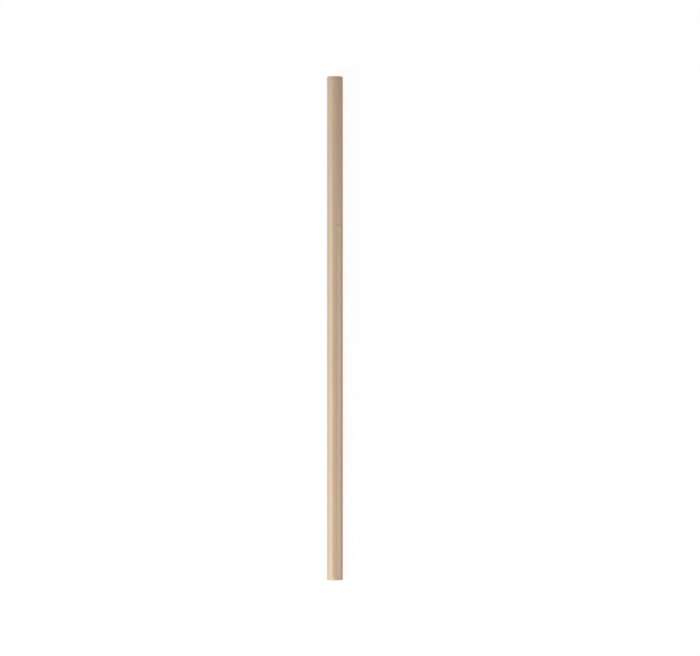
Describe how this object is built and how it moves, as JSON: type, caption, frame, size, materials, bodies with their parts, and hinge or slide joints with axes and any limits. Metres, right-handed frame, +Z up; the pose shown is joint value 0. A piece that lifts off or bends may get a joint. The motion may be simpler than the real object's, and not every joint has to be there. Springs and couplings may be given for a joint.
{
  "type": "drinking straw",
  "caption": "Straight seamless tube in unbleached tan fibre with softened cut ends, for sipping a drink from a cup, glass or bottle.",
  "frame": {"origin": "on the surface that the straw lies on, under the middle of its length", "axes": "+Y along the straw, +Z up from the surface, +X to the side"},
  "size_m": [0.0064, 0.197, 0.0063],
  "materials": {
    "fibre_wall": "satin unbleached fibre with faint lengthwise grain"
  },
  "bodies": {
    "root": {"straw_tube": "fibre_wall"}
  },
  "joints": []
}
